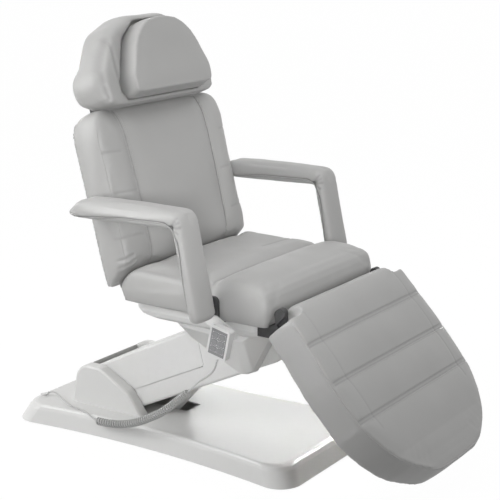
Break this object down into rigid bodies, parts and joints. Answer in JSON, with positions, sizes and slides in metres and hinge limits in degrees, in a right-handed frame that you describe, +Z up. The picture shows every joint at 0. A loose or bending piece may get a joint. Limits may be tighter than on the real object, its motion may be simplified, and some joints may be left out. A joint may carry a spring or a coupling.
{
  "type": "electric beauty chair",
  "caption": "Powered treatment chair: padded seat, reclining back, head cushion and leg rest on a parallel lift arm, with swing armrests and a corded hand control.",
  "frame": {"origin": "on the floor, under the middle of the chair's width and overall length as shown", "axes": "-Y is the way the sitter faces, +X the sitter's left, +Z up"},
  "size_m": [0.79, 1.3528, 1.2207],
  "materials": {
    "white_plastic": "satin moulding",
    "upholstery": "synthetic leather over foam",
    "painted_steel": "powder coat",
    "black_steel": "black powder coat",
    "bright_steel": "turned",
    "bronze": "plain bush",
    "board": "plywood",
    "rubber_feet": "matt",
    "grey_plastic": "satin",
    "dark_plastic": "matt",
    "keys": "matt keys",
    "cord": "satin sheath"
  },
  "bodies": {
    "base": {"base_cover": "white_plastic", "base_frame": "painted_steel", "levelling_feet": "rubber_feet", "rear_housing": "white_plastic", "lift_pins": "bright_steel", "control_box": "dark_plastic", "mains_inlet": "dark_plastic", "cord_gland": "grey_plastic", "cord_lower_lead": "cord", "cord_curl": "cord", "cord_upper_lead": "cord"},
    "lift_arm": {"lift_arm": "painted_steel", "arm_bushes": "bronze", "arm_cover_upper": "white_plastic", "arm_cover_lower": "white_plastic"},
    "parallel_link": {"parallel_link": "painted_steel"},
    "lift_motor": {"lift_motor": "painted_steel"},
    "lift_rod": {"lift_rod": "bright_steel"},
    "seat": {"carriage": "painted_steel", "carriage_pins": "bright_steel", "carriage_cover_left": "white_plastic", "carriage_cover_right": "white_plastic", "seat_pan": "white_plastic", "seat_frame": "black_steel", "seat_board": "board", "seat_cushion": "upholstery", "hinge_pins": "bright_steel", "armrest_bolts": "bright_steel", "back_motor": "painted_steel", "leg_motor": "painted_steel", "handset_front": "grey_plastic", "handset_rear": "grey_plastic", "handset_relief": "grey_plastic", "handset_clip": "grey_plastic"},
    "back_rod": {"back_rod": "bright_steel"},
    "leg_rod": {"leg_rod": "bright_steel"},
    "back": {"back_frame": "black_steel", "back_board": "board", "back_cushion": "upholstery"},
    "lock_knob": {"lock_knob": "dark_plastic"},
    "head_post": {"head_post": "black_steel", "head_pins": "bright_steel"},
    "head": {"head_board": "board", "head_cushion": "upholstery"},
    "pillow": {"head_pillow": "upholstery"},
    "leg_rest": {"leg_frame": "black_steel", "leg_board": "board", "leg_cushion": "upholstery"},
    "armrest_left": {"armrest_core_left": "black_steel", "armrest_pad_left": "upholstery"},
    "armrest_right": {"armrest_core_right": "black_steel", "armrest_pad_right": "upholstery"},
    "button_1_1": {"button_1_1": "keys"},
    "button_1_2": {"button_1_2": "keys"},
    "button_2_1": {"button_2_1": "keys"},
    "button_2_2": {"button_2_2": "keys"},
    "button_3_1": {"button_3_1": "keys"},
    "button_3_2": {"button_3_2": "keys"}
  },
  "joints": [
    {"name": "lift", "type": "hinge", "parent": "base", "child": "lift_arm", "pos_m": [0, 0.43991, 0.112], "axis": [-1, 0, 0], "range_deg": [0, 30], "deforming": ["cord_lower_lead", "cord_curl", "cord_upper_lead"]},
    {"name": "seat_level", "type": "hinge", "parent": "lift_arm", "child": "seat", "pos_m": [0, -0.14509, 0.363], "axis": [-1, 0, 0], "range_deg": [-30, 0]},
    {"name": "link_swing", "type": "hinge", "parent": "base", "child": "parallel_link", "pos_m": [0, 0.43991, 0.066], "axis": [-1, 0, 0], "range_deg": [0, 30]},
    {"name": "lift_motor_swing", "type": "hinge", "parent": "base", "child": "lift_motor", "pos_m": [0, 0.26791, 0.036], "axis": [-1, 0, 0], "range_deg": [0, 31.4]},
    {"name": "lift_rod_slide", "type": "slide", "parent": "lift_motor", "child": "lift_rod", "axis": [0, -0.663, 0.7486], "range_m": [0, 0.0968]},
    {"name": "recline", "type": "hinge", "parent": "seat", "child": "back", "pos_m": [0, 0.23591, 0.468], "axis": [-1, 0, 0], "range_deg": [0, 72]},
    {"name": "back_rod_slide", "type": "slide", "parent": "seat", "child": "back_rod", "axis": [0, -1, 0], "range_m": [0, 0.0572]},
    {"name": "leg_swing", "type": "hinge", "parent": "seat", "child": "leg_rest", "pos_m": [0, -0.29409, 0.5], "axis": [-1, 0, 0], "range_deg": [-8, 49]},
    {"name": "leg_rod_slide", "type": "slide", "parent": "seat", "child": "leg_rod", "axis": [0, -1, 0], "range_m": [-0.0096, 0.0578]},
    {"name": "knob_turn", "type": "hinge", "parent": "back", "child": "lock_knob", "pos_m": [0, 0.38375, 0.89859], "axis": [-1, 0, 0], "continuous": true},
    {"name": "head_slide", "type": "slide", "parent": "back", "child": "head_post", "axis": [0, 0.2588, 0.9659], "range_m": [0, 0.08]},
    {"name": "head_tilt", "type": "hinge", "parent": "head_post", "child": "head", "pos_m": [0, 0.3989, 0.99185], "axis": [-1, 0, 0], "range_deg": [0, 35]},
    {"name": "pillow_lift", "type": "slide", "parent": "head", "child": "pillow", "axis": [0, -0.9563, 0.2924], "range_m": [0, 0.12]},
    {"name": "armrest_left_swing", "type": "hinge", "parent": "seat", "child": "armrest_left", "pos_m": [0.33, -0.10709, 0.51], "axis": [-1, 0, 0], "range_deg": [0, 90]},
    {"name": "armrest_right_swing", "type": "hinge", "parent": "seat", "child": "armrest_right", "pos_m": [-0.33, -0.10709, 0.51], "axis": [-1, 0, 0], "range_deg": [0, 90]},
    {"name": "button_1_1_press", "type": "slide", "parent": "seat", "child": "button_1_1", "axis": [1, 0, 0], "range_m": [0, 0.001], "stiffness_N_per_m": 400},
    {"name": "button_1_2_press", "type": "slide", "parent": "seat", "child": "button_1_2", "axis": [1, 0, 0], "range_m": [0, 0.001], "stiffness_N_per_m": 400},
    {"name": "button_2_1_press", "type": "slide", "parent": "seat", "child": "button_2_1", "axis": [1, 0, 0], "range_m": [0, 0.001], "stiffness_N_per_m": 400},
    {"name": "button_2_2_press", "type": "slide", "parent": "seat", "child": "button_2_2", "axis": [1, 0, 0], "range_m": [0, 0.001], "stiffness_N_per_m": 400},
    {"name": "button_3_1_press", "type": "slide", "parent": "seat", "child": "button_3_1", "axis": [1, 0, 0], "range_m": [0, 0.001], "stiffness_N_per_m": 400},
    {"name": "button_3_2_press", "type": "slide", "parent": "seat", "child": "button_3_2", "axis": [1, 0, 0], "range_m": [0, 0.001], "stiffness_N_per_m": 400}
  ],
  "couplings": [
    {"joint": "seat_level", "follows": "lift", "ratio": -1},
    {"joint": "link_swing", "follows": "lift", "ratio": 1},
    {"joint": "lift_motor_swing", "follows": "lift", "ratio": 1.04},
    {"joint": "lift_rod_slide", "follows": "lift", "m_per_rad": 0.184},
    {"joint": "back_rod_slide", "follows": "recline", "m_per_rad": 0.045387},
    {"joint": "leg_rod_slide", "follows": "leg_swing", "m_per_rad": 0.06741}
  ]
}
